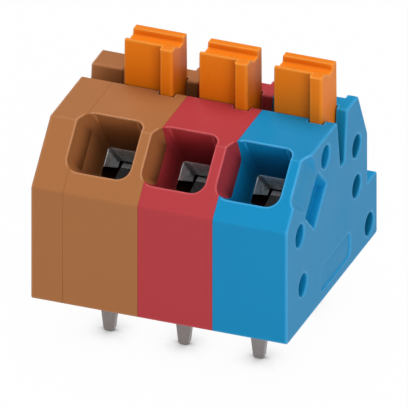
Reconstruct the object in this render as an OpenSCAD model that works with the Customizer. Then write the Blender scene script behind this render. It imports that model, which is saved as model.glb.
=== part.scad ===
// Three pole spring clamp terminal block for a circuit board.
// Wires enter at 45 degrees from the front; a push button above each pole opens its spring.
// Millimetres. X runs along the poles, Y from the wire side to the rear, Z up.
// The origin lies on the board plane, in the middle of the body's footprint.

/* [Poles] */
// distance from pole to pole, and width of a housing
pitch = 5.08; // [4.9:0.01:6]
// thickness of the end cover
cover_t = 2.15; // [1.6:0.05:3]
// wire axis, from the left face of its housing
pole_x = 1.84; // [1.75:0.01:1.95]

/* [Body] */
// depth of the body at the board
body_d = 16.04; // [15.5:0.02:18]
// height of the flat top above the board
body_h = 11.5; // [11.3:0.05:12.5]
// height of the upright front, where the 45 degree face starts
front_h = 8.05; // [7.8:0.05:8.3]
// length of the flat top behind the slot
rear_top_l = 1.96; // [1.6:0.02:2.4]
// run of the rear slope
rear_slope_l = 1.63; // [1.2:0.01:2]
// height of the foot of the rear slope
rear_slope_z = 8.04; // [7:0.02:9]
// height of the rear ledge
ledge_z = 4.4; // [3.5:0.05:5]
// how far the rear is set in beside each right wall
rear_set_in = 0.45; // [0.2:0.01:0.6]
// thickness of the right wall that keeps the full rear outline
rear_rib_t = 0.69; // [0.5:0.01:0.9]
// thickness of the floor under the current bar
floor_t = 0.4; // [0.3:0.02:0.6]
// edge round at the foot of the 45 degree face
facet_foot_r = 0.3; // [0.1:0.05:0.5]
// edge round of the top and rear edges
edge_r = 0.18; // [0.05:0.01:0.25]
// edge round at the board
board_r = 0.15; // [0.05:0.01:0.2]
// edge round where the rear meets the ledge
small_r = 0.08; // [0.04:0.01:0.12]

/* [Cross slot] */
// width of the slot at the top
slot_w = 1.76; // [1.4:0.02:2]
// width of the slot at its floor
slot_floor_w = 0.78; // [0.5:0.02:1.2]
// depth of the slot
slot_depth = 3.5; // [2.5:0.05:3.6]
// how far the slot's floor is shifted to the rear
slot_lean_y = 0.06; // [0:0.01:0.15]
// fillet beside the slot's floor
slot_r = 0.15; // [0.05:0.01:0.2]

/* [Wire funnel] */
// distance of the funnel axis from the front, on the 45 degree face
mouth_y = 2.5; // [2.4:0.02:2.6]
// half width of the mouth
mouth_half = 2.16; // [2:0.01:2.25]
// reach of the mouth above its axis
mouth_up = 2.2; // [2:0.05:2.4]
// reach of the mouth below its axis
mouth_down = 2.04; // [1.9:0.01:2.2]
// corner radius of the mouth
mouth_r = 0.9; // [0.5:0.05:1]
// depth of the mouth's straight rim
rim_depth = 0.85; // [0.6:0.05:1.1]
// reach below the axis at the rim's inner end
rim_down = 1.92; // [1.8:0.01:2]
// depth at which the left wall passes the joint between two housings
waist_depth = 2.5; // [2.2:0.05:2.6]
// reach above the axis at that depth
waist_up = 1.78; // [1.5:0.02:1.9]
// reach below the axis at that depth
waist_down = 1.65; // [1.5:0.05:1.8]
// corner radius at that depth
waist_r = 0.6; // [0.2:0.05:0.8]
// depth of the throat
throat_depth = 4.0; // [3.8:0.05:4.2]
// half width and half height of the throat
throat_half = 0.98; // [0.9:0.01:1.05]
// corner radius of the throat
throat_r = 0.2; // [0.1:0.05:0.4]

/* [Joining features] */
// radius of a joining peg
peg_r = 0.73; // [0.6:0.01:0.76]
// length of a joining peg
peg_l = 1.0; // [0.6:0.05:1.2]
// uppermost peg, before the slot
top_peg_y = 2.06; // [1.8:0.02:2.4]
// uppermost peg, below the flat top
top_peg_z = 1.42; // [1.1:0.02:1.7]
// two rear pegs, before the rear
rear_peg_y = 1.9; // [1.7:0.02:2.1]
// peg in the heel, before the rear of the ledge
heel_peg_y = 1.36; // [1.1:0.02:1.6]
// height of the peg in the heel
heel_peg_z = 1.26; // [1:0.02:1.5]
// upper front peg, behind the front
front_peg_y = 2.35; // [2:0.05:2.6]
// upper front peg, below the 45 degree face
front_peg_z = 1.34; // [1.1:0.02:1.6]
// lower front peg, behind the upper one
toe_peg_y = 0.55; // [0.3:0.05:0.8]
// height of the lower front peg
toe_peg_z = 2.88; // [2.4:0.02:3.2]
// clearance of a peg in its hole, all round
peg_gap = 0.045; // [0.02:0.005:0.08]
// extra depth of a peg hole
peg_hole_extra = 0.15; // [0.05:0.05:0.3]
// height of the slanted boss on the left face
boss_t = 0.58; // [0.3:0.02:0.7]
// where the slanted boss starts along the wire
boss_n0 = 2.76; // [2.7:0.02:3]
// where the slanted boss ends along the wire
boss_n1 = 4.98; // [4.6:0.02:5.1]
// half height of the slanted boss
boss_half = 1.52; // [1.3:0.02:1.6]
// draft of the boss at its upper end
boss_draft_l = 0.35; // [0.1:0.05:0.5]
// clearance of the boss in its pocket
boss_gap = 0.06; // [0.03:0.01:0.1]
// front edge of the bare field on the right face
field_y0 = 6.0; // [5.5:0.05:6.5]
// length of the bare field
field_l = 5.35; // [4:0.05:5.6]
// lower edge of the bare field
field_z0 = 0.72; // [0.5:0.02:1]
// height of the bare field
field_h = 1.73; // [1.2:0.02:1.9]
// depth of the bare field
field_t = 0.1; // [0.05:0.01:0.2]
// corner radius of the bare field
field_r = 0.5; // [0.2:0.05:0.8]

/* [Push button] */
// left side of the button, from the housing's left face
button_x = 0.72; // [0.68:0.01:0.85]
// width of the button at the housing's top
button_w = 3.53; // [3.4:0.01:3.6]
// front of the button, from the front of the body
button_y = 9.0; // [8.95:0.01:9.1]
// depth of the button
button_d = 2.13; // [2:0.01:2.2]
// height of the button above the housing's top
button_up = 3.23; // [2.6:0.01:3.6]
// depth of the button below the housing's top
button_down = 3.6; // [3.4:0.05:3.8]
// how much narrower each side is at the top
button_draft_x = 0.05; // [0:0.01:0.08]
// travel of the button
travel = 1.8; // [1.2:0.05:2]
// clearance of the button in its shaft
shaft_gap = 0.06; // [0.04:0.01:0.1]
// width of the rib on the front of the button
rib_w = 0.92; // [0.7:0.01:0.95]
// how far the rib stands out
rib_out = 0.5; // [0.3:0.01:0.55]
// front lip of the blade groove
groove_lip = 0.2; // [0.18:0.01:0.3]
// foot of the groove's front slope, from the front
groove_floor_y = 0.85; // [0.7:0.01:1]
// foot of the groove's rear wall, from the front
groove_deep_y = 1.5; // [1.3:0.01:1.52]
// depth of the groove
groove_depth = 0.4; // [0.3:0.02:0.5]
// top of the groove's rear wall, from the front
groove_end = 1.54; // [1.53:0.01:1.65]
// fillet at the foot of the front slope
groove_r = 0.2; // [0.1:0.02:0.3]
// edge round of the ridge and fillet at its foot
ridge_r = 0.08; // [0.04:0.01:0.1]
// edge round of the button's top
button_r = 0.1; // [0.06:0.01:0.15]
// round of the button's upright edges
button_side_r = 0.14; // [0.05:0.01:0.2]
// round of the rib's outer upright edge
rib_r = 0.25; // [0.1:0.01:0.35]
// how far the retaining lug reaches under the shaft's rear edge
lug_out = 0.27; // [0.2:0.01:0.32]
// height of the retaining lug
lug_h = 0.5; // [0.4:0.05:0.6]
// height left between the lug and the shaft's rear edge
lug_gap = 0.05; // [0.03:0.01:0.1]
// depth of the plunger under the rib
plunger_d = 1.85; // [1.6:0.05:1.95]
// round of the plunger's foot
nose_r = 0.45; // [0.3:0.01:0.5]
// height left between the plunger's foot and the spring
nose_gap = 0.03; // [0.01:0.01:0.06]

/* [Current bar] */
// thickness of the sheet
sheet_t = 0.5; // [0.4:0.02:0.55]
// first solder pin, from the front of the body
pin_y = 3.6; // [3.5:0.02:3.7]
// distance between the two solder pins of a pole
pin_row = 7.62; // [7.4:0.02:7.7]
// length of a solder pin below the board plane
pin_l = 3.3; // [2.8:0.1:4.5]
// width of a solder pin
pin_w = 1.04; // [0.8:0.02:1.1]
// width of a solder pin's end
pin_end_w = 0.68; // [0.6:0.02:0.8]
// length of a solder pin's taper
pin_taper = 1.5; // [0.8:0.05:2]
// round of a solder pin's end corners
pin_end_r = 0.26; // [0.1:0.02:0.28]
// bend radius of the sheet's middle
bar_bend_r = 0.5; // [0.4:0.02:0.6]
// width of the wide base between the pins
base_half = 0.96; // [0.8:0.02:1]
// length of the narrow neck behind each pin
neck_l = 0.85; // [0.8:0.05:1]
// how far the tunnel's roof ends before the knee of the spring
roof_back_l = 0.3; // [0.2:0.05:0.5]
// upright rear edge of the tunnel's sides
side_y1 = 8.0; // [7.9:0.05:8.05]
// reach of the tunnel's sides below the axis at the front
side_down = 0.3; // [0.2:0.05:0.5]
// height of the tunnel's sides at their rear edge
side_rear_h = 1.25; // [1:0.05:1.5]
// front edge of the upright side plate
post_y0 = 4.4; // [4.2:0.05:4.6]
// rear edge of the upright side plate
post_y1 = 7.0; // [6.6:0.05:7.4]
// outer bend radius of the tunnel
tunnel_r = 0.55; // [0.3:0.05:0.6]
// clearance between the metal and the plastic round it
metal_gap = 0.07; // [0.04:0.01:0.1]

/* [Clamp spring] */
// thickness of the leaf
leaf_t = 0.3; // [0.2:0.02:0.36]
// half width of the leaf
leaf_half = 0.85; // [0.7:0.01:0.88]
// bend radius at the front
leaf_bend_r = 1.0; // [0.8:0.05:1.05]
// centre of the front bend, from the front of the body
leaf_bend_y = 4.98; // [4.95:0.01:5.1]
// centre of the front bend above the board
leaf_bend_z = 4.3; // [4.1:0.05:4.5]
// knee of the leaf, along the wire
knee_depth = 7.1; // [6.9:0.05:7.2]
// bend radius of the knee
knee_r = 0.5; // [0.4:0.05:0.6]
// height left between knee and roof
knee_gap = 0.03; // [0.01:0.01:0.06]
// fall of the tail behind the knee, degrees
tail_fall = 8; // [5:0.5:12]
// end of the tail, from the front of the body
tail_y = 10.6; // [10.3:0.05:10.8]
// rear end of the lower leg, from the front of the body
foot_y = 10.4; // [9.6:0.05:10.5]
// height left between the lower leg's end and the base
foot_gap = 0.02; // [0.01:0.01:0.05]
// room left below the plunger at full travel, for the end of the wing
wing_drop = 1.3; // [1.2:0.05:1.6]

/* [Hidden] */
$fn = 48;
eps = 0.01;
poles = 3;
wire_angle = 45;
hull_fn = 32;
arc_steps = 6;
bend_steps = 18;
body_w = cover_t + poles * pitch;
body_x0 = -body_w / 2;
body_y0 = -body_d / 2;
facet_y = body_h - front_h;
mouth_z = front_h + mouth_y;
// the slot is as far forward as the button
slot_y0 = button_y;
slot_y1 = slot_y0 + slot_w;
slot_mid = (slot_y0 + slot_y1) / 2 + slot_lean_y;
slot_z = body_h - slot_depth;
rear_top_y = slot_y1 + rear_top_l;
rear_y = rear_top_y + rear_slope_l;
// peg centres on the side faces, as distance from the front and height
pegs = [[slot_y0 - top_peg_y, body_h - top_peg_z], [rear_y - rear_peg_y, rear_slope_z],
    [rear_y - rear_peg_y, ledge_z + peg_r], [body_d - heel_peg_y, heel_peg_z],
    [front_peg_y, front_h - front_peg_z], [front_peg_y + toe_peg_y, toe_peg_z]];
peg_hole_r = peg_r + peg_gap;
peg_hole_l = peg_l + peg_hole_extra;
// waist of the funnel: its left wall meets the joint plane
waist_half = pole_x;
// tunnel of the current bar, in the wire's frame
tunnel_n0 = throat_depth + metal_gap / 2;
roof_out = throat_half + sheet_t;
tunnel_half_out = throat_half + sheet_t;
base_top = floor_t + sheet_t;
base_x1 = pole_x + tunnel_half_out;
button_x1 = button_x + button_w;
button_y1 = button_y + button_d;
button_z1 = body_h + button_up;
button_z0 = body_h - button_down;
rib_x0 = button_x1 - rib_w;
rib_y0 = button_y - rib_out;
lug_x0 = button_x + shaft_gap;
lug_x1 = rib_x0;
lug_z1 = button_z0 + lug_h;
// room behind the lug, and under the shaft
room_y1 = button_y1 + lug_out + shaft_gap;
room_z1 = lug_z1 + lug_gap;
room_x1 = base_x1 + metal_gap;
wing_x1 = button_x1 - shaft_gap;
room_front = leaf_bend_y - leaf_bend_r - leaf_t / 2 - metal_gap;
// knee of the leaf: its upper side stays under the roof
knee_u0 = throat_half - knee_gap - leaf_t / 2;
knee_p = wire_point(knee_depth, knee_u0);
// the plunger's foot is parallel to the tail
plunger_y1 = rib_y0 + plunger_d;
foot_z0 = tail_top(plunger_y1) + nose_gap;
foot_z1 = tail_top(rib_y0) + nose_gap;
// lowest place of the wing's room
wing_room_z = foot_z0 - travel - wing_drop;
wing_y0 = rib_y0 + metal_gap;
roof_end = knee_depth - roof_back_l;
// corners of a tunnel side: upper front, lower front, upper rear, lower rear
side_a = wire_point(tunnel_n0, roof_out);
side_b = wire_point(tunnel_n0, -side_down);
side_c = [side_y1, side_a.y - (side_y1 - side_a.x)];
side_d = [side_y1, side_c.y - side_rear_h];
side_slope = (side_d.y - side_b.y) / (side_d.x - side_b.x);

// point of the side view for a depth along the wire and a height over its axis
function wire_point(n, u) = [mouth_y + (n + u) * cos(wire_angle), mouth_z + (u - n) * sin(wire_angle)];
function unit(v) = v / norm(v);
function turn_left(v) = [-v.y, v.x];
function arc(c, r, a0, a1, n) = [for (i = [0 : n]) c + r * [cos(a0 + (a1 - a0) * i / n), sin(a0 + (a1 - a0) * i / n)]];
// one corner of an outline, rounded with radius r
function corner(a, p, b, r) = r <= 0 ? [p] :
    let (d = unit(a - p), e = unit(b - p), h = acos(d * e) / 2,
        c = p + unit(d + e) * r / sin(h), s = p + d * r / tan(h) - c, f = p + e * r / tan(h) - c,
        a0 = atan2(s.y, s.x), sweep = (atan2(f.y, f.x) - a0 + 540) % 360 - 180)
    arc(c, r, a0, a0 + sweep, arc_steps);
// outline of points [y, z, radius]
function rounded(p) = [for (i = [0 : len(p) - 1])
    let (a = p[(i + len(p) - 1) % len(p)], q = p[i], b = p[(i + 1) % len(p)])
    each corner([a.x, a.y], [q.x, q.y], [b.x, b.y], q.z)];
function mitre(p, i) =
    i == 0 ? turn_left(unit(p[1] - p[0])) :
    i == len(p) - 1 ? turn_left(unit(p[i] - p[i - 1])) :
    let (a = turn_left(unit(p[i] - p[i - 1])), b = turn_left(unit(p[i + 1] - p[i]))) (a + b) / (1 + a * b);
// band of half thickness h along a path
function band(p, h) = concat([for (i = [0 : len(p) - 1]) p[i] + h * mitre(p, i)],
    [for (i = [len(p) - 1 : -1 : 0]) p[i] - h * mitre(p, i)]);
function bend_centre() = [leaf_bend_y, leaf_bend_z];
// direction of the upper leg, tangent to the front bend and aimed at the knee
function upper_aim() = let (d = knee_p - bend_centre())
    atan2(d.y, d.x) - asin(leaf_bend_r / norm(d));
// direction of the lower leg, tangent to the front bend and aimed at its foot
function lower_aim() = let (d = foot_p() - bend_centre())
    atan2(d.y, d.x) + asin(leaf_bend_r / norm(d));
function foot_p() = [foot_y, base_top + foot_gap + leaf_t / 2];
function tail_end() = [tail_y, knee_p.y - (tail_y - knee_p.x) * tan(tail_fall)];
// height of the tail's upper side
function tail_top(y) = knee_p.y - (y - knee_p.x) * tan(tail_fall) + leaf_t / 2 / cos(tail_fall);
function leaf_path() = concat([foot_p()],
    arc(bend_centre(), leaf_bend_r, lower_aim() - 90, upper_aim() - 270, bend_steps),
    corner(bend_centre() + leaf_bend_r * [cos(upper_aim() + 90), sin(upper_aim() + 90)], knee_p, tail_end(), knee_r),
    [tail_end()]);
function side_outline(set_in) = rounded([
    [0, 0, board_r], [0, front_h, facet_foot_r], [facet_y, body_h, edge_r],
    [slot_y0, body_h, edge_r], [slot_mid - slot_floor_w / 2, slot_z, slot_r],
    [slot_mid + slot_floor_w / 2, slot_z, slot_r], [slot_y1, body_h, edge_r],
    [rear_top_y - set_in, body_h, edge_r], [rear_y - set_in, rear_slope_z, facet_foot_r],
    [rear_y - set_in, ledge_z, small_r], [body_d, ledge_z, edge_r], [body_d, 0, board_r]]);

// side view outline drawn from x0 to x1
module across(x0, x1) translate([x0, 0, 0]) rotate([90, 0, 90]) linear_extrude(x1 - x0) children();
// front view outline drawn from y0 to y1
module along(y0, y1) translate([0, y1, 0]) rotate([90, 0, 0]) linear_extrude(y1 - y0) children();
// frame of the wire of the housing that starts at x: X across, Y up over the axis, Z out of the mouth
module at_wire(x = 0) translate([x + pole_x, mouth_y, mouth_z]) rotate([wire_angle, 0, 0]) children();
module at_pole(i) translate([body_x0 + cover_t + i * pitch, body_y0, 0]) children();

// four round corners of a funnel section at depth n
module section(n, half, up, down, r)
    for (x = [r - half, half - r], u = [r - down, up - r])
        translate([x, u, -n]) cylinder(h = eps, r = r, $fn = hull_fn);

module funnel_mouth() hull() {
    section(-eps, mouth_half, mouth_up, mouth_down, mouth_r);
    section(rim_depth, mouth_half, mouth_up, rim_down, mouth_r);
    section(waist_depth, waist_half, waist_up, waist_down, waist_r);
}

module funnel_throat() hull() {
    section(waist_depth, waist_half, waist_up, waist_down, waist_r);
    section(throat_depth + eps, throat_half, throat_half, throat_half, throat_r);
}

// slanted block on the joint plane; grow widens it into the pocket
module slanted_block(grow)
    translate([-pole_x, 0, -boss_n1 - grow]) linear_extrude(boss_n1 - boss_n0 + 2 * grow)
        polygon([[-boss_t - grow, -boss_half - grow], [eps, -boss_half - grow], [eps, boss_half + grow],
            [-boss_t - grow, boss_half + grow - boss_draft_l]]);

// what every moulding has on the face at x towards its right neighbour
module right_face_cuts(x) {
    at_wire(x) funnel_mouth();
    at_wire(x) slanted_block(boss_gap);
    for (p = pegs) translate([x - peg_hole_l, p.x, p.y]) rotate([0, 90, 0]) cylinder(h = peg_hole_l + eps, r = peg_hole_r);
}

module shaft() {
    translate([button_x - shaft_gap, button_y - shaft_gap, room_z1 - eps])
        cube([button_w + 2 * shaft_gap, button_d + 2 * shaft_gap, button_z1 - room_z1]);
    translate([rib_x0 - shaft_gap, rib_y0 - shaft_gap, wing_room_z])
        cube([rib_w + 2 * shaft_gap, room_y1 - rib_y0 - lug_out, button_z1 - wing_room_z]);
}

// room of the current bar and the spring, open to the left
module inner_room() {
    roof_a = wire_point(throat_depth, roof_out + metal_gap);
    roof_b = wire_point(throat_depth, -boss_half);
    room_mid = button_y - shaft_gap;
    across(-eps, room_x1) polygon([
        [pin_y - sheet_t / 2 - metal_gap, floor_t], [room_y1, floor_t], [room_y1, room_z1],
        [room_mid, room_z1], [room_mid, roof_a.y - (room_mid - roof_a.x)], roof_a, roof_b,
        [room_front, roof_b.y - (roof_b.x - room_front)], [room_front, base_top + metal_gap],
        [pin_y - sheet_t / 2 - metal_gap, base_top + metal_gap]]);
}

module pin_slots()
    for (y = [pin_y - sheet_t / 2 - metal_gap, pin_y + pin_row + sheet_t / 2 + metal_gap - neck_l])
        translate([-eps, y, -eps]) cube([pole_x + pin_w / 2 + metal_gap + eps, neck_l, floor_t + 2 * eps]);

module housing_form() difference() {
    union() {
        across(0, pitch - rear_rib_t) polygon(side_outline(rear_set_in));
        across(pitch - rear_rib_t, pitch) polygon(side_outline(0));
        for (p = pegs) translate([-peg_l, p.x, p.y]) rotate([0, 90, 0]) cylinder(h = peg_l + peg_r, r = peg_r);
        at_wire() slanted_block(0);
    }
    at_wire() funnel_mouth();
    at_wire() funnel_throat();
    inner_room();
    shaft();
    pin_slots();
    right_face_cuts(pitch);
    across(pitch - field_t, pitch + eps) polygon(rounded([
        [field_y0, field_z0, field_r], [field_y0 + field_l, field_z0, field_r],
        [field_y0 + field_l, field_z0 + field_h, field_r], [field_y0, field_z0 + field_h, field_r]]));
}

module cover_form() difference() {
    across(0, cover_t) polygon(side_outline(0));
    right_face_cuts(cover_t);
}

module button_form() {
    intersection() {
        union() {
            across(button_x, button_x1) polygon(rounded([
                [button_y, button_z0, button_r], [button_y, button_z1, button_r],
                [button_y + groove_lip, button_z1, button_r],
                [button_y + groove_floor_y, button_z1 - groove_depth, groove_r],
                [button_y + groove_deep_y, button_z1 - groove_depth, ridge_r],
                [button_y + groove_end, button_z1, ridge_r],
                [button_y1, button_z1, button_r], [button_y1, button_z0, button_r]]));
            // rib on the front, going down as the plunger
            across(rib_x0, button_x1) polygon(rounded([
                [rib_y0, foot_z1, nose_r], [rib_y0, button_z1, button_r],
                [button_y + button_r, button_z1, 0], [button_y + button_r, lug_z1, 0],
                [plunger_y1, lug_z1, 0], [plunger_y1, foot_z0, nose_r]]));
        }
        along(rib_y0, button_y1) polygon([
            [button_x, foot_z0], [button_x, body_h], [button_x + button_draft_x, button_z1],
            [button_x1 - button_draft_x, button_z1], [button_x1, body_h], [button_x1, foot_z0]]);
        translate([0, 0, foot_z0]) linear_extrude(button_z1 - foot_z0) polygon(rounded([
            [button_x, button_y, button_side_r], [rib_x0, button_y, 0], [rib_x0, rib_y0, button_side_r],
            [button_x1, rib_y0, rib_r], [button_x1, button_y1, button_side_r], [button_x, button_y1, button_side_r]]));
    }
    // lug that keeps the button in the shaft
    translate([lug_x0, button_y1 - button_r, button_z0]) cube([lug_x1 - lug_x0, lug_out + button_r, lug_h]);
}

// plate that carries the right tunnel side down to the base, lapping over the side
module post_outline() polygon([
    wire_point(tunnel_n0, side_down), side_b, [post_y0, side_b.y - (side_b.x - post_y0)],
    [post_y0, base_top - eps], [post_y1, base_top - eps],
    [post_y1, side_b.y + side_slope * (post_y1 - side_b.x) + side_down]]);

module current_bar_form() {
    // base and pins: a staple bent from one strip
    intersection() {
        across(pole_x - base_half, base_x1) polygon(band(concat(
            [[pin_y, -pin_l]],
            corner([pin_y, -pin_l], [pin_y, floor_t + sheet_t / 2], [pin_y + pin_row, floor_t + sheet_t / 2], bar_bend_r),
            corner([pin_y, floor_t + sheet_t / 2], [pin_y + pin_row, floor_t + sheet_t / 2],
                [pin_y + pin_row, -pin_l], bar_bend_r),
            [[pin_y + pin_row, -pin_l]]), sheet_t / 2));
        union() {
            along(0, body_d) polygon(rounded([
                [pole_x - pin_w / 2, base_top + eps, 0], [pole_x - pin_w / 2, pin_taper - pin_l, 0],
                [pole_x - pin_end_w / 2, -pin_l, pin_end_r], [pole_x + pin_end_w / 2, -pin_l, pin_end_r],
                [pole_x + pin_w / 2, pin_taper - pin_l, 0], [pole_x + pin_w / 2, base_top + eps, 0]]));
            translate([0, pin_y + neck_l, floor_t]) cube([pitch, pin_row - 2 * neck_l, sheet_t + eps]);
        }
    }
    // tunnel: a folded channel over the wire, trimmed to the outline of its sides
    intersection() {
        at_wire() translate([0, 0, -roof_end]) linear_extrude(roof_end - tunnel_n0) difference() {
            polygon(rounded([[-tunnel_half_out, -tunnel_half_out, 0], [-tunnel_half_out, roof_out, tunnel_r],
                [tunnel_half_out, roof_out, tunnel_r], [tunnel_half_out, -tunnel_half_out, 0]]));
            translate([-throat_half, -tunnel_half_out - eps]) square([2 * throat_half, roof_out - sheet_t + tunnel_half_out + eps]);
        }
        across(0, pitch) polygon([side_a, side_b, side_d, side_c]);
    }
    across(base_x1 - sheet_t, base_x1) post_outline();
}

module spring_form() {
    across(pole_x - leaf_half, pole_x + leaf_half) polygon(band(leaf_path(), leaf_t / 2));
    // wing beside the wire, under the plunger
    across(pole_x + leaf_half - eps, wing_x1) polygon(band(
        [[wing_y0, knee_p.y - (wing_y0 - knee_p.x) * tan(tail_fall)], tail_end()], leaf_t / 2));
}

module left_cover() color([0.42, 0.24, 0.13]) translate([body_x0, body_y0, 0]) cover_form();
module housing_brown() color([0.42, 0.24, 0.13]) at_pole(0) housing_form();
module housing_red() color([0.62, 0.12, 0.13]) at_pole(1) housing_form();
module housing_blue() color([0.05, 0.38, 0.62]) at_pole(2) housing_form();
module button_brown() color([0.95, 0.42, 0.06]) at_pole(0) button_form();
module button_red() color([0.95, 0.42, 0.06]) at_pole(1) button_form();
module button_blue() color([0.95, 0.42, 0.06]) at_pole(2) button_form();
module current_bar_brown() color([0.66, 0.65, 0.64]) at_pole(0) current_bar_form();
module current_bar_red() color([0.66, 0.65, 0.64]) at_pole(1) current_bar_form();
module current_bar_blue() color([0.66, 0.65, 0.64]) at_pole(2) current_bar_form();
module spring_brown() color([0.75, 0.75, 0.76]) at_pole(0) spring_form();
module spring_red() color([0.75, 0.75, 0.76]) at_pole(1) spring_form();
module spring_blue() color([0.75, 0.75, 0.76]) at_pole(2) spring_form();

left_cover();
housing_brown();
housing_red();
housing_blue();
button_brown();
button_red();
button_blue();
current_bar_brown();
current_bar_red();
current_bar_blue();
spring_brown();
spring_red();
spring_blue();
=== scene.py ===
import math

import bpy
import numpy as np
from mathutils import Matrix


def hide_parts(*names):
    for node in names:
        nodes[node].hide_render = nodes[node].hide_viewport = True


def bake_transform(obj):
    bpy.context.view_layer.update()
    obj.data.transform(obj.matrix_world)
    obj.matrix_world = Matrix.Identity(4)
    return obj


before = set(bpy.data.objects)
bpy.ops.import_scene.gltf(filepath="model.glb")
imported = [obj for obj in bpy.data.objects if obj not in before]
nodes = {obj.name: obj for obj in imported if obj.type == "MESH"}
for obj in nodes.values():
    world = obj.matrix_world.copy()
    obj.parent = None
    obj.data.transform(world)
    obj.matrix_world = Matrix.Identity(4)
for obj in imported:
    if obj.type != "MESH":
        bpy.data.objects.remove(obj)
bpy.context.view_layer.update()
mm = 0.001
poleNames = ("brown", "red", "blue")
print("frame loaded,", len(nodes), "nodes")


# node helpers

def startGroup(name, inputs, outputs):
    # an input that starts as a tuple is a colour, the others are values; so is each output but Color
    group = bpy.data.node_groups.new(name, "ShaderNodeTree")
    for label, value in inputs.items():
        kind = "NodeSocketColor" if isinstance(value, tuple) else "NodeSocketFloat"
        socket = group.interface.new_socket(name=label, in_out="INPUT", socket_type=kind)
        socket.default_value = value
    for label in outputs:
        kind = "NodeSocketColor" if label == "Color" else "NodeSocketFloat"
        group.interface.new_socket(name=label, in_out="OUTPUT", socket_type=kind)
    return group, group.nodes.new("NodeGroupInput").outputs, group.nodes.new("NodeGroupOutput").inputs


def addNode(tree, kind, settings=None, values=None):
    node = tree.nodes.new(kind)
    for key, value in (settings or {}).items():
        setattr(node, key, value)
    for key, value in (values or {}).items():
        node.inputs[key].default_value = value
    return node


def feed(tree, value, socket):
    # a number is set, an output is linked
    if isinstance(value, (int, float)):
        socket.default_value = value
    else:
        tree.links.new(value, socket)


def addMath(tree, operation, first, second=0.0, clamp=False):
    node = addNode(tree, "ShaderNodeMath", {"operation": operation, "use_clamp": clamp})
    feed(tree, first, node.inputs[0])
    feed(tree, second, node.inputs[1])
    return node.outputs[0]


def tint(tree, color, factor):
    # colour times a grey factor
    node = addNode(tree, "ShaderNodeVectorMath", {"operation": "SCALE"})
    tree.links.new(color, node.inputs[0])
    tree.links.new(factor, node.inputs["Scale"])
    return node.outputs[0]


def mixColor(tree, share, first, second):
    node = addNode(tree, "ShaderNodeMix", {"data_type": "RGBA"})
    tree.links.new(share, node.inputs[0])
    tree.links.new(first, node.inputs[6])
    tree.links.new(second, node.inputs[7])
    return node.outputs[2]


def addNoise(tree, place, scale, detail, roughness=0.5):
    noise = addNode(tree, "ShaderNodeTexNoise", None, {"Detail": detail, "Roughness": roughness})
    tree.links.new(place, noise.inputs["Vector"])
    feed(tree, scale, noise.inputs["Scale"])
    return noise.outputs[0]


def addOcclusion(tree, reach, samples=8, **settings):
    node = addNode(tree, "ShaderNodeAmbientOcclusion", {"samples": samples, **settings})
    feed(tree, reach, node.inputs["Distance"])
    return node.outputs["AO"]


def addRange(tree, value, start, end, least=0.0, kind="SMOOTHSTEP"):
    # from least at the start to one at the end
    node = addNode(tree, "ShaderNodeMapRange", {"interpolation_type": kind})
    for label, given in (("Value", value), ("From Min", start), ("From Max", end), ("To Min", least)):
        feed(tree, given, node.inputs[label])
    return node.outputs[0]


def objectPlace(tree):
    return addNode(tree, "ShaderNodeTexCoord").outputs["Object"]


def splitAxes(tree, place):
    apart = addNode(tree, "ShaderNodeSeparateXYZ")
    tree.links.new(place, apart.inputs[0])
    return apart.outputs


# shared surface effects

grey = (0.5, 0.5, 0.5, 1)
skinGrain = {"slowScale": 240.0, "slowDetail": 3.0, "slowRough": 0.55, "fineDetail": 2.0, "fineRough": 0.6,
             "speck": 0.06, "glossSway": 0.2}


def makeMouldedSkin():
    # moulded plastic: slow tone drift, fine eroded grain, roughness that follows the drift
    group, given, out = startGroup(
        "mouldedSkin",
        {"Color": grey, "Drift": 0.05, "Gloss": 0.45, "Grain Size": 9000.0},
        ("Color", "Roughness", "Height"))
    place = objectPlace(group)
    slow = addNoise(group, place, skinGrain["slowScale"], skinGrain["slowDetail"], skinGrain["slowRough"])
    fine = addNoise(group, place, given["Grain Size"], skinGrain["fineDetail"], skinGrain["fineRough"])
    sway = addMath(group, "SUBTRACT", slow, 0.5)
    factor = addMath(group, "ADD", addMath(group, "MULTIPLY", sway, given["Drift"]), 1.0)
    speck = addMath(group, "MULTIPLY", addMath(group, "SUBTRACT", fine, 0.5), skinGrain["speck"])
    factor = addMath(group, "ADD", factor, speck)
    glossSway = addMath(group, "MULTIPLY", sway, skinGrain["glossSway"])
    group.links.new(tint(group, given["Color"], factor), out["Color"])
    group.links.new(addMath(group, "ADD", given["Gloss"], glossSway), out["Roughness"])
    group.links.new(fine, out["Height"])
    return group


# settings of the painted edge highlight; polish lowers the roughness there
highlightSettings = {"gain": 4.5, "patchScale": 900.0, "patchDetail": 3.0, "patchShare": 0.8, "patchLeast": 0.6,
            "polish": 0.15}


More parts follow.
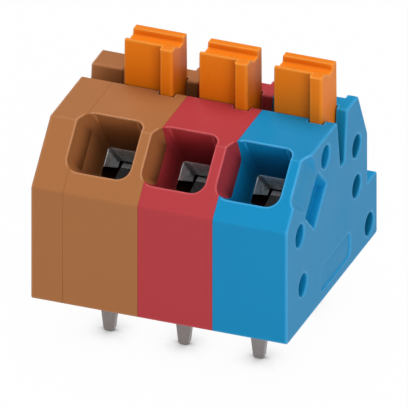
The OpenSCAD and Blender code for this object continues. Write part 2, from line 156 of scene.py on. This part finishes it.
def makePaintedEdgeHighlight():
    # painted highlight on convex edges: occlusion measured inside the solid finds convex edges; paler colour
    # there as a
    #     # painted highlight, and smoother, broken by noise, and left out at the joints between housings,
    #     which repeat along x up to the last face
    group, given, out = startGroup(
        "paintedEdgeHighlight",
        {"Color": grey, "Roughness": 0.4, "Pale": (0.8, 0.8, 0.8, 1), "Amount": 0.5, "Width": 0.08 * mm,
         "Joint Start": 0.0, "Half Pitch": 1.0, "Last Face": 1.0},
        ("Color", "Roughness"))
    place = objectPlace(group)
    x = splitAxes(group, place)["X"]
    inside = addOcclusion(group, given["Width"], inside=True, only_local=True)
    bend = addMath(group, "MULTIPLY", addMath(group, "SUBTRACT", 1.0, inside), highlightSettings["gain"], True)
    patches = addNoise(group, place, highlightSettings["patchScale"], highlightSettings["patchDetail"])
    broken = addMath(group, "MULTIPLY", patches, highlightSettings["patchShare"])
    broken = addMath(group, "ADD", broken, highlightSettings["patchLeast"])
    along = addMath(group, "ADD", x, given["Joint Start"])
    fromJoint = addMath(group, "PINGPONG", along, given["Half Pitch"])
    clear = addMath(group, "GREATER_THAN", fromJoint, given["Width"])
    free = addMath(group, "MAXIMUM", clear, addMath(group, "GREATER_THAN", x, given["Last Face"]))
    share = addMath(group, "MULTIPLY", addMath(group, "MULTIPLY", bend, broken), given["Amount"], True)
    share = addMath(group, "MULTIPLY", share, free)
    polish = addMath(group, "MULTIPLY", share, highlightSettings["polish"])
    # mixing towards the pale colour paints the highlight
    group.links.new(mixColor(group, share, given["Color"], given["Pale"]), out["Color"])
    group.links.new(addMath(group, "SUBTRACT", given["Roughness"], polish), out["Roughness"])
    return group


def makeCavity(name, ownOnly):
    # painted shade in deep recesses: colour darkens where the surroundings close in beyond a limit,
    #     # which can be another one behind a given depth
    group, given, out = startGroup(
        name,
        {"Color": grey, "Reach": 3.0 * mm, "Shut": 0.1, "Open": 0.5, "Darkest": 0.4, "Rear Y": 1.0,
         "Rear More": 0.0},
        ("Color",))
    y = splitAxes(group, objectPlace(group))["Y"]
    behind = addMath(group, "GREATER_THAN", y, given["Rear Y"])
    more = addMath(group, "MULTIPLY", behind, given["Rear More"])
    limit = addMath(group, "ADD", more, given["Open"])
    near = addOcclusion(group, given["Reach"], only_local=ownOnly)
    shade = addRange(group, near, given["Shut"], limit, given["Darkest"])
    group.links.new(tint(group, given["Color"], shade), out["Color"])
    return group


funnel = {"reach": 6.0 * mm, "openFrom": 0.6, "closeFrom": 0.4}


def makeWell():
    # painted shade in the wire funnels: colour darkens with the way along the slanted wire, only where the
    # walls stand close
    group, given, out = startGroup(
        "well",
        {"Color": grey, "Front Y": 0.0, "Foot Z": 0.0, "Start": 0.0, "End": 1.0, "Rear Y": 1.0, "Side X": 1.0,
         "Deepen": 0.5},
        ("Color",))
    axes = splitAxes(group, objectPlace(group))
    near = addOcclusion(group, funnel["reach"])
    close = addRange(group, near, funnel["openFrom"], funnel["closeFrom"])
    back = addMath(group, "SUBTRACT", axes["Y"], given["Front Y"])
    down = addMath(group, "SUBTRACT", given["Foot Z"], axes["Z"])
    way = addMath(group, "MULTIPLY", addMath(group, "ADD", back, down), math.sqrt(0.5))
    far = addRange(group, way, given["Start"], given["End"])
    here = addMath(group, "LESS_THAN", axes["Y"], given["Rear Y"])
    here = addMath(group, "MULTIPLY", here, addMath(group, "LESS_THAN", axes["X"], given["Side X"]))
    share = addMath(group, "MULTIPLY", addMath(group, "MULTIPLY", close, far), here)
    keep = addMath(group, "SUBTRACT", 1.0, addMath(group, "MULTIPLY", share, given["Deepen"]))
    group.links.new(tint(group, given["Color"], keep), out["Color"])
    return group


rolled = {"lineScale": (9000.0, 500.0, 500.0), "lineDetail": 3.0, "cloudScale": 2200.0, "cloudDetail": 4.0,
          "brightAbove": 1.5 * mm, "dullBelow": -0.5 * mm, "evenBelow": 0.9, "glossSway": 0.3}


def makeRolledMetal():
    # rolled sheet: long fine streaks along the strip, cloudy tin over them,
    #     # darker and more even towards the solder end
    group, given, out = startGroup(
        "rolledMetal",
        {"Color": (0.6, 0.6, 0.6, 1), "Dull": (0.3, 0.3, 0.3, 1), "Streak": 0.1, "Gloss": 0.3},
        ("Color", "Roughness", "Height"))
    place = objectPlace(group)
    stretch = addNode(group, "ShaderNodeMapping", None, {"Scale": rolled["lineScale"]})
    group.links.new(place, stretch.inputs["Vector"])
    lines = addNoise(group, stretch.outputs[0], 1.0, rolled["lineDetail"])
    cloud = addNoise(group, place, rolled["cloudScale"], rolled["cloudDetail"])
    z = splitAxes(group, place)["Z"]
    low = addRange(group, z, rolled["brightAbove"], rolled["dullBelow"], kind="LINEAR")
    sway = addMath(group, "SUBTRACT", addMath(group, "ADD", lines, cloud), 1.0)
    high = addMath(group, "SUBTRACT", 1.0, addMath(group, "MULTIPLY", low, rolled["evenBelow"]))
    mottle = addMath(group, "MULTIPLY", addMath(group, "MULTIPLY", sway, given["Streak"]), high)
    base = mixColor(group, low, given["Color"], given["Dull"])
    glossSway = addMath(group, "MULTIPLY", sway, rolled["glossSway"])
    group.links.new(tint(group, base, addMath(group, "ADD", mottle, 1.0)), out["Color"])
    group.links.new(addMath(group, "ADD", given["Gloss"], glossSway), out["Roughness"])
    group.links.new(lines, out["Height"])
    return group


def makePaintedGlint():
    # painted glint on the leaf's clamping edge: two bright lines across the leaf and a paler strip between
    # them
    group, given, out = startGroup(
        "paintedGlint",
        {"Color": (0.3, 0.3, 0.3, 1), "Gleam": (0.9, 0.9, 0.9, 1), "Middle Y": 0.0, "Half Width": 0.1 * mm,
         "Line": 0.05 * mm, "Strip": 0.3},
        ("Color",))
    y = splitAxes(group, objectPlace(group))["Y"]
    off = addMath(group, "ABSOLUTE", addMath(group, "SUBTRACT", y, given["Middle Y"]))
    fromLine = addMath(group, "ABSOLUTE", addMath(group, "SUBTRACT", off, given["Half Width"]))
    line = addMath(group, "SUBTRACT", 1.0, addMath(group, "DIVIDE", fromLine, given["Line"]), True)
    between = addMath(group, "LESS_THAN", off, given["Half Width"])
    share = addMath(group, "MAXIMUM", line, addMath(group, "MULTIPLY", between, given["Strip"]))
    group.links.new(mixColor(group, share, given["Color"], given["Gleam"]), out["Color"])
    return group


mouldedSkin = makeMouldedSkin()
paintedEdgeHighlight = makePaintedEdgeHighlight()
# painted shade in recesses, from all nearby parts
cavity = makeCavity("cavity", False)
# painted shade in the folds and corners of a part, from its own faces only
fold = makeCavity("fold", True)
# painted shade along the wire funnels
well = makeWell()
rolledMetal = makeRolledMetal()
# painted highlight across the leaf
paintedGlint = makePaintedGlint()


def makeFinish(name, skinGroup, skinValues, shaderValues, bump, steps):
    # the skin's colour goes through each step in turn, and its roughness through those that change it
    material = bpy.data.materials.new(name)
    material.use_nodes = True
    material.diffuse_color = skinValues["Color"]
    tree = material.node_tree
    shader = tree.nodes["Principled BSDF"]
    for key, value in shaderValues.items():
        shader.inputs[key].default_value = value
    skin = addNode(tree, "ShaderNodeGroup", {"node_tree": skinGroup}, skinValues)
    color, rough = skin.outputs["Color"], skin.outputs["Roughness"]
    for group, values in steps:
        step = addNode(tree, "ShaderNodeGroup", {"node_tree": group}, values)
        tree.links.new(color, step.inputs["Color"])
        color = step.outputs["Color"]
        if "Roughness" in step.outputs:
            tree.links.new(rough, step.inputs["Roughness"])
            rough = step.outputs["Roughness"]
    tree.links.new(color, shader.inputs["Base Color"])
    tree.links.new(rough, shader.inputs["Roughness"])
    relief = addNode(tree, "ShaderNodeBump", None, {"Strength": bump["strength"], "Distance": bump["depth"]})
    tree.links.new(skin.outputs["Height"], relief.inputs["Height"])
    tree.links.new(relief.outputs["Normal"], shader.inputs["Normal"])
    return material


plastic = {
    # each pale colour is the painted highlight on that plastic's convex edges
    "brown": {"color": (0.46, 0.178, 0.058, 1), "pale": (0.61, 0.28, 0.13, 1)},
    "red": {"color": (0.53, 0.050, 0.060, 1), "pale": (0.69, 0.12, 0.13, 1)},
    "blue": {"color": (0.003, 0.290, 0.590, 1), "pale": (0.07, 0.47, 0.85, 1)},
    "orange": {"color": (1.0, 0.245, 0.005, 1), "pale": (1.0, 0.36, 0.05, 1)},
    "drift": 0.05, "gloss": 0.48, "grain": 9000.0, "specular": 0.18,
    # paler colour on convex edges: painted highlight
    "highlightInputs": {"Amount": 0.9, "Width": 0.16 * mm, "Joint Start": 6.545 * mm, "Half Pitch": 2.54 * mm,
            "Last Face": 8.5 * mm},
    # painted shade in recesses, stronger behind a depth
    "cavity": {"Reach": 6.0 * mm, "Shut": 0.05, "Open": 0.32, "Darkest": 0.3,
               "Rear Y": -0.1 * mm, "Rear More": 0.33},
    # painted shade at the buttons, with their own limits
    "buttonCavity": {"Darkest": 0.5, "Rear More": 0.56},
    # painted shade deep in the wire funnels
    "well": {"Front Y": -8.02 * mm, "Foot Z": 8.05 * mm, "Start": 1.0 * mm, "End": 3.9 * mm,
             "Rear Y": -1.5 * mm, "Side X": 7.7 * mm, "Deepen": 0.55},
    "bump": {"strength": 0.12, "depth": 0.003 * mm},
}
finishes = {}
for colour in ("brown", "red", "blue", "orange"):
    skin = {"Color": plastic[colour]["color"], "Drift": plastic["drift"], "Gloss": plastic["gloss"],
            "Grain Size": plastic["grain"]}
    highlightInputs = {"Pale": plastic[colour]["pale"], **plastic["highlightInputs"]}
    recess = {**plastic["cavity"], **(plastic["buttonCavity"] if colour == "orange" else {})}
    finishes[colour] = makeFinish(
        colour + "Plastic", mouldedSkin, skin, {"Specular IOR Level": plastic["specular"]}, plastic["bump"],
        ((paintedEdgeHighlight, highlightInputs), (cavity, recess), (well, plastic["well"])))

metal = {
    "tin": {"Color": (0.88, 0.95, 0.97, 1), "Dull": (0.42, 0.375, 0.36, 1), "Streak": 1.8, "Gloss": 0.36},
    # the spring steel's colour is far darker than bare steel: painted shade for the leaf deep in the throat
    "steel": {"Color": (0.12, 0.12, 0.122, 1), "Dull": (0.12, 0.12, 0.122, 1), "Streak": 0.14, "Gloss": 0.24},
    "tinShader": {"Metallic": 0.1}, "steelShader": {"Metallic": 0.15},
    # painted highlight: two bright lines and a paler strip across the leaf's clamping edge
    "gleamLines": {"Gleam": (0.95, 0.95, 0.97, 1), "Middle Y": -0.1 * mm, "Half Width": 0.17 * mm, "Line": 0.08 * mm,
             "Strip": 0.7},
    # painted shade in the metal's folds and corners
    "fold": {"Reach": 0.6 * mm, "Shut": 0.5, "Open": 0.85, "Darkest": 0.1},
    "bump": {"strength": 0.15, "depth": 0.003 * mm},
}
finishes["tin"] = makeFinish(
    "tinnedStrip", rolledMetal, metal["tin"], metal["tinShader"], metal["bump"], ((fold, metal["fold"]),))
finishes["steel"] = makeFinish(
    "springSteel", rolledMetal, metal["steel"], metal["steelShader"], metal["bump"],
    ((paintedGlint, metal["gleamLines"]), (fold, metal["fold"])))
print("finishes made:", ", ".join(finishes))


# edges of the CAD nodes

edging = {
    "weld": 0.0005 * mm, "smoothBelow": math.radians(28), "cornerAbove": math.radians(55),
    "flatBelow": math.radians(0.3), "width": 0.1 * mm, "barWidth": 0.04 * mm, "segments": 3,
    "outerX": 8.69 * mm, "seamX": 6.545 * mm, "halfPitch": 2.54 * mm, "seamTol": 0.004 * mm,
    "outer": 0.85, "seam": 0.35, "other": 0.5,
    "housing": {"Sharp Above": math.radians(28), "Plain X": 4.39 * mm, "From Y": -1.0, "From Z": -1.0},
    "button": {"Sharp Above": math.radians(55), "Plain X": 3.33 * mm, "From Y": 0.625 * mm,
               "From Z": 8.6 * mm},
}


def startGeometry(name):
    tree = bpy.data.node_groups.new(name, "GeometryNodeTree")
    tree.interface.new_socket(name="Geometry", in_out="INPUT", socket_type="NodeSocketGeometry")
    tree.interface.new_socket(name="Geometry", in_out="OUTPUT", socket_type="NodeSocketGeometry")
    return tree, tree.nodes.new("NodeGroupInput"), tree.nodes.new("NodeGroupOutput")


def makeEdgeSorter():
    # joins the loose triangles and shades smooth wherever two faces meet at less than the limit
    tree, gin, gout = startGeometry("edgeSorter")
    bare = addNode(tree, "GeometryNodeRemoveAttribute", None, {"Name": "custom_normal"})
    weld = addNode(tree, "GeometryNodeMergeByDistance", None, {"Distance": edging["weld"]})
    faces = addNode(tree, "GeometryNodeSetShadeSmooth", {"domain": "FACE"}, {"Shade Smooth": True})
    edges = addNode(tree, "GeometryNodeSetShadeSmooth", {"domain": "EDGE"})
    angle = addNode(tree, "GeometryNodeInputMeshEdgeAngle").outputs["Unsigned Angle"]
    tree.links.new(addMath(tree, "LESS_THAN", angle, edging["smoothBelow"]), edges.inputs["Shade Smooth"])
    for a, b in ((gin, bare), (bare, weld), (weld, faces), (faces, edges), (edges, gout)):
        tree.links.new(a.outputs[0], b.inputs[0])
    return tree


def makeEdgeWeigher():
    # sharp edges get a weight: wide on the two outer faces, narrow at the joints, between elsewhere,
    # none on one plane across each pole, where roundings run out, and none before a depth or below a height
    tree, gin, gout = startGeometry("edgeWeigher")
    for label in ("Sharp Above", "Plain X", "From Y", "From Z"):
        tree.interface.new_socket(name=label, in_out="INPUT", socket_type="NodeSocketFloat")
    given = gin.outputs
    store = addNode(tree, "GeometryNodeStoreNamedAttribute", {"data_type": "FLOAT", "domain": "EDGE"},
                    {"Name": "bevel_weight_edge"})
    axes = splitAxes(tree, addNode(tree, "GeometryNodeInputPosition").outputs[0])
    angle = addNode(tree, "GeometryNodeInputMeshEdgeAngle").outputs["Unsigned Angle"]
    sharp = addMath(tree, "GREATER_THAN", angle, given["Sharp Above"])
    outer = addMath(tree, "GREATER_THAN", addMath(tree, "ABSOLUTE", axes["X"]), edging["outerX"])
    fromJoint = addMath(tree, "ADD", axes["X"], edging["seamX"])
    near = addMath(tree, "PINGPONG", fromJoint, edging["halfPitch"])
    seam = addMath(tree, "LESS_THAN", near, edging["seamTol"])
    weight = addMath(tree, "MULTIPLY", seam, edging["seam"] - edging["other"])
    weight = addMath(tree, "ADD", weight, edging["other"])
    weight = addMath(tree, "MAXIMUM", weight, addMath(tree, "MULTIPLY", outer, edging["outer"]))
    inPole = addMath(tree, "FLOORED_MODULO", fromJoint, 2 * edging["halfPitch"])
    offPlane = addMath(tree, "ABSOLUTE", addMath(tree, "SUBTRACT", inPole, given["Plain X"]))
    kept = addMath(tree, "GREATER_THAN", offPlane, edging["seamTol"])
    for axis in ("Y", "Z"):
        beyond = addMath(tree, "GREATER_THAN", axes[axis], given["From " + axis])
        kept = addMath(tree, "MULTIPLY", kept, beyond)
    sharp = addMath(tree, "MULTIPLY", sharp, kept)
    tree.links.new(addMath(tree, "MULTIPLY", weight, sharp), store.inputs["Value"])
    tree.links.new(given[0], store.inputs[0])
    tree.links.new(store.outputs[0], gout.inputs[0])
    return tree


edgeSorter = makeEdgeSorter()
edgeWeigher = makeEdgeWeigher()


def softenNode(node, kind):
    sorter = node.modifiers.new("sorter", "NODES")
    sorter.node_group = edgeSorter
    flat = node.modifiers.new("flat", "DECIMATE")
    flat.decimate_type = "DISSOLVE"
    flat.angle_limit = edging["flatBelow"]
    if kind != "bar":
        weigher = node.modifiers.new("weigher", "NODES")
        weigher.node_group = edgeWeigher
        sockets = {item.name: item.identifier for item in edgeWeigher.interface.items_tree}
        for label, value in edging[kind].items():
            weigher[sockets[label]] = value
    rounding = node.modifiers.new("rounding", "BEVEL")
    rounding.limit_method = "ANGLE" if kind == "bar" else "WEIGHT"
    rounding.angle_limit = edging["cornerAbove"]
    rounding.width = edging["barWidth"] if kind == "bar" else edging["width"]
    rounding.segments = edging["segments"]
    rounding.use_clamp_overlap = False
    even = node.modifiers.new("even", "WEIGHTED_NORMAL")
    even.keep_sharp = True


def dress(name, finish, kind):
    node = nodes[name]
    node.material_slots[0].material = finishes[finish]
    softenNode(node, kind)


dress("left_cover", "brown", "housing")
for pole in poleNames:
    dress("housing_" + pole, pole, "housing")
    dress("button_" + pole, "orange", "button")
    dress("current_bar_" + pole, "tin", "bar")
print("CAD nodes dressed")


# leaf springs

# millimetres: the side view and the widths count from the front and the left of each pole,
# # the still and pushed places are in the frame
spring = {
    "foot": (10.4, 1.07), "bendAt": (4.98, 4.3), "bendR": 1.0, "knee": (8.0862, 6.0952), "kneeR": 0.5,
    "tail": (10.6, 5.7419), "left": 0.99, "right": 2.69, "wing": 4.19, "wingFrom": 8.6, "wingStep": 0.12,
    "half": 0.15, "round": 0.07, "rowX": -6.545, "pitch": 5.08, "rowY": -8.02,
    "still": (0.0, -3.04, 5.074), "pushed": (0.0, -2.166, 7.169),
    "footSteps": 14, "bendSteps": 41, "legSteps": 26, "kneeSteps": 9, "tailSteps": 60, "cornerSteps": 5,
    "crease": math.radians(50),
}


def arcPoints(centre, radius, fromAngle, toAngle, count):
    angle = np.linspace(fromAngle, toAngle, count)
    return np.array(centre) + radius * np.stack([np.cos(angle), np.sin(angle)], -1)


def linePoints(a, b, count):
    return np.array(a) + np.linspace(0, 1, count)[:, None] * (np.array(b) - np.array(a))


def leafPath():
    # side view of the leaf: foot, straight lower leg, round front bend, rising upper leg, knee, falling tail
    centre, knee = np.array(spring["bendAt"]), np.array(spring["knee"])
    foot, tail = np.array(spring["foot"]), np.array(spring["tail"])
    toFoot, toKnee = foot - centre, knee - centre
    low = math.atan2(toFoot[1], toFoot[0]) + math.asin(spring["bendR"] / np.hypot(*toFoot))
    high = math.atan2(toKnee[1], toKnee[0]) - math.asin(spring["bendR"] / np.hypot(*toKnee))
    bend = arcPoints(centre, spring["bendR"], low - math.pi / 2, high - 1.5 * math.pi, spring["bendSteps"])
    fall = math.atan2(*(tail - knee)[::-1])
    reach = spring["kneeR"] * math.tan((high - fall) / 2)
    before = knee - reach * np.array([math.cos(high), math.sin(high)])
    kneeCentre = before + spring["kneeR"] * np.array([math.sin(high), -math.cos(high)])
    over = arcPoints(kneeCentre, spring["kneeR"], high + math.pi / 2, fall + math.pi / 2, spring["kneeSteps"])
    return np.concatenate([
        linePoints(foot, bend[0], spring["footSteps"])[:-1], bend,
        linePoints(bend[-1], before, spring["legSteps"])[1:-1], over,
        linePoints(over[-1], tail, spring["tailSteps"])[1:]])


def makeSpring(pole, number):
    # closed band: a rounded rectangle carried along the path;
    # its right side steps out to the wing behind the knee
    path = leafPath()
    ahead = np.gradient(path, axis=0)
    ahead /= np.linalg.norm(ahead, axis=1)[:, None]
    up = np.stack([-ahead[:, 1], ahead[:, 0]], -1)
    behindKnee = np.arange(len(path)) >= len(path) - spring["tailSteps"]
    step = np.clip((path[:, 0] - spring["wingFrom"]) / spring["wingStep"], 0, 1) * behindKnee
    right = spring["right"] + (spring["wing"] - spring["right"]) * step * step * (3 - 2 * step)
    steps = spring["cornerSteps"]
    corner = np.repeat(np.arange(4), steps)
    turn = corner * math.pi / 2 + np.tile(np.linspace(0, math.pi / 2, steps), 4)
    isRight, isTop = np.isin(corner, (0, 3)), corner < 2
    r = spring["round"]
    across = np.where(isRight, right[:, None] - r, spring["left"] + r) + r * np.cos(turn)
    over = np.where(isTop, spring["half"] - r, r - spring["half"]) + r * np.sin(turn)
    side = path[:, None, :] + over[None, :, None] * up[:, None, :]
    place = np.concatenate([across[..., None] + spring["rowX"] + number * spring["pitch"], side], -1)
    place[..., 1] += spring["rowY"]
    rows, columns = place.shape[:2]
    index = np.arange(rows * columns).reshape(rows, columns)
    ring = np.roll(index, -1, axis=1)
    quads = np.stack([index[:-1], index[1:], ring[1:], ring[:-1]], -1).reshape(-1, 4)
    ends = [index[0].tolist(), index[-1, ::-1].tolist()]
    mesh = bpy.data.meshes.new("leaf_" + pole)
    mesh.from_pydata((place.reshape(-1, 3) * mm).tolist(), [], quads.tolist() + ends)
    mesh.shade_smooth()
    mesh.set_sharp_from_angle(angle=spring["crease"])
    mesh.materials.append(finishes["steel"])
    leaf = bpy.data.objects.new("leaf_" + pole, mesh)
    bpy.context.scene.collection.objects.link(leaf)
    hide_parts("spring_" + pole)
    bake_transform(leaf)


for number, pole in enumerate(poleNames):
    makeSpring(pole, number)
print("springs made")


# floor, light and camera

# reach, samples, lift and depth shape the painted contact shadow on the floor
stage = {"floorZ": -3.3 * mm, "floorHalf": 1.0, "floorSteps": 5, "albedo": 0.9, "shadowShare": 0.02,
         "reach": 2.6 * mm, "samples": 16, "lift": 1.06, "depth": 1.5, "skyLevel": 0.08}
white = (1, 1, 1, 1)


def gridMesh(name, points):
    # quads over a grid of points with two parameters
    rows, columns = points.shape[:2]
    index = np.arange(rows * columns).reshape(rows, columns)
    quads = np.stack([index[:-1, :-1], index[1:, :-1], index[1:, 1:], index[:-1, 1:]], -1).reshape(-1, 4)
    mesh = bpy.data.meshes.new(name)
    mesh.from_pydata(points.reshape(-1, 3).tolist(), [], quads.tolist())
    return mesh


def mixShader(tree, share, first, second):
    node = addNode(tree, "ShaderNodeMixShader")
    feed(tree, share, node.inputs[0])
    tree.links.new(first, node.inputs[1])
    tree.links.new(second, node.inputs[2])
    return node.outputs[0]


def makeFloor():
    # flat grid: x and y are the two parameters, z is constant
    line = np.linspace(-stage["floorHalf"], stage["floorHalf"], stage["floorSteps"])
    x, y = np.meshgrid(line, line, indexing="ij")
    mesh = gridMesh("floor", np.stack([x, y, np.full_like(x, stage["floorZ"])], -1))
    floor = bpy.data.objects.new("floor", mesh)
    bpy.context.scene.collection.objects.link(floor)
    material = bpy.data.materials.new("paleFloor")
    material.use_nodes = True
    tree = material.node_tree
    tree.nodes.remove(tree.nodes["Principled BSDF"])
    path = addNode(tree, "ShaderNodeLightPath").outputs
    seen = addMath(tree, "MAXIMUM", path["Is Camera Ray"], path["Is Glossy Ray"])
    seen = addMath(tree, "MAXIMUM", seen, path["Is Transmission Ray"])
    # painted contact shadow: the white glow seen by the camera darkens with occlusion near the object
    near = addOcclusion(tree, stage["reach"], stage["samples"])
    shade = addMath(tree, "POWER", addMath(tree, "MULTIPLY", near, stage["lift"], True), stage["depth"])
    dull = addNode(tree, "ShaderNodeBsdfDiffuse", None, {"Color": (stage["albedo"],) * 3 + (1,)}).outputs[0]
    glow = addNode(tree, "ShaderNodeEmission", None, {"Color": white})
    tree.links.new(shade, glow.inputs["Strength"])
    shown = mixShader(tree, stage["shadowShare"], glow.outputs[0], dull)
    both = mixShader(tree, seen, dull, shown)
    below = addNode(tree, "ShaderNodeNewGeometry").outputs["Backfacing"]
    clear = addNode(tree, "ShaderNodeBsdfTransparent").outputs[0]  # from below, so the underside can be seen
    tree.links.new(mixShader(tree, below, both, clear), tree.nodes["Material Output"].inputs["Surface"])
    mesh.materials.append(material)


def makeWorld():
    # white for the camera, dim for all other rays
    world = bpy.data.worlds.new("studio")
    bpy.context.scene.world = world
    world.use_nodes = True
    tree = world.node_tree
    sky = tree.nodes["Background"]
    sky.inputs["Color"].default_value = white
    sky.inputs["Strength"].default_value = stage["skyLevel"]
    backdrop = addNode(tree, "ShaderNodeBackground", None, {"Color": white, "Strength": 1.0})
    seen = addNode(tree, "ShaderNodeLightPath").outputs["Is Camera Ray"]
    mixed = mixShader(tree, seen, sky.outputs[0], backdrop.outputs[0])
    tree.links.new(mixed, tree.nodes["World Output"].inputs["Surface"])


lampAim = (0.0, 0.0, 0.005)
lamps = {
    "overhead": {"at": (-0.02, 0.03, 0.30), "size": 0.34, "energy": 0.69},
    "front": {"at": (0.06, -0.32, 0.02), "size": 0.16, "energy": 0.07},
    "right": {"at": (0.29, -0.20, 0.10), "size": 0.16, "energy": 0.35},
    "mouths": {"at": (0.08, -0.20, 0.21), "size": 0.12, "energy": 0.18},
    "back": {"at": (-0.25, 0.30, 0.06), "size": 0.20, "energy": 0.30},
}


def makeLamp(name, spec):
    data = bpy.data.lights.new(name, "AREA")
    data.shape = "DISK"
    data.size = spec["size"]
    data.energy = spec["energy"]
    lamp = bpy.data.objects.new(name, data)
    bpy.context.scene.collection.objects.link(lamp)
    lamp.location = spec["at"]
    aim = np.array(lampAim) - np.array(spec["at"])
    flat = math.hypot(aim[0], aim[1])
    lamp.rotation_euler = (math.atan2(flat, -aim[2]), 0, math.atan2(-aim[0], aim[1]))


view = {"azimuth": 20.9, "elevation": 28.8, "target": (0.0, 0.0, 4.41 * mm), "distance": 0.25,
        "width": 25.89 * mm, "clipStart": 0.01, "clipEnd": 5.0}


def makeCamera():
    data = bpy.data.cameras.new("camera")
    data.type = "ORTHO"
    data.ortho_scale = view["width"]
    data.clip_start = view["clipStart"]
    data.clip_end = view["clipEnd"]
    camera = bpy.data.objects.new("camera", data)
    bpy.context.scene.collection.objects.link(camera)
    a, e = math.radians(view["azimuth"]), math.radians(view["elevation"])
    back = np.array([math.sin(a) * math.cos(e), -math.cos(a) * math.cos(e), math.sin(e)])
    camera.location = np.array(view["target"]) + back * view["distance"]
    camera.rotation_euler = (math.pi / 2 - e, 0, a)
    bpy.context.scene.camera = camera


makeFloor()
makeWorld()
for lampName, spec in lamps.items():
    makeLamp(lampName, spec)
makeCamera()
bpy.context.scene.view_settings.view_transform = "Standard"
print("stage, light and camera set")
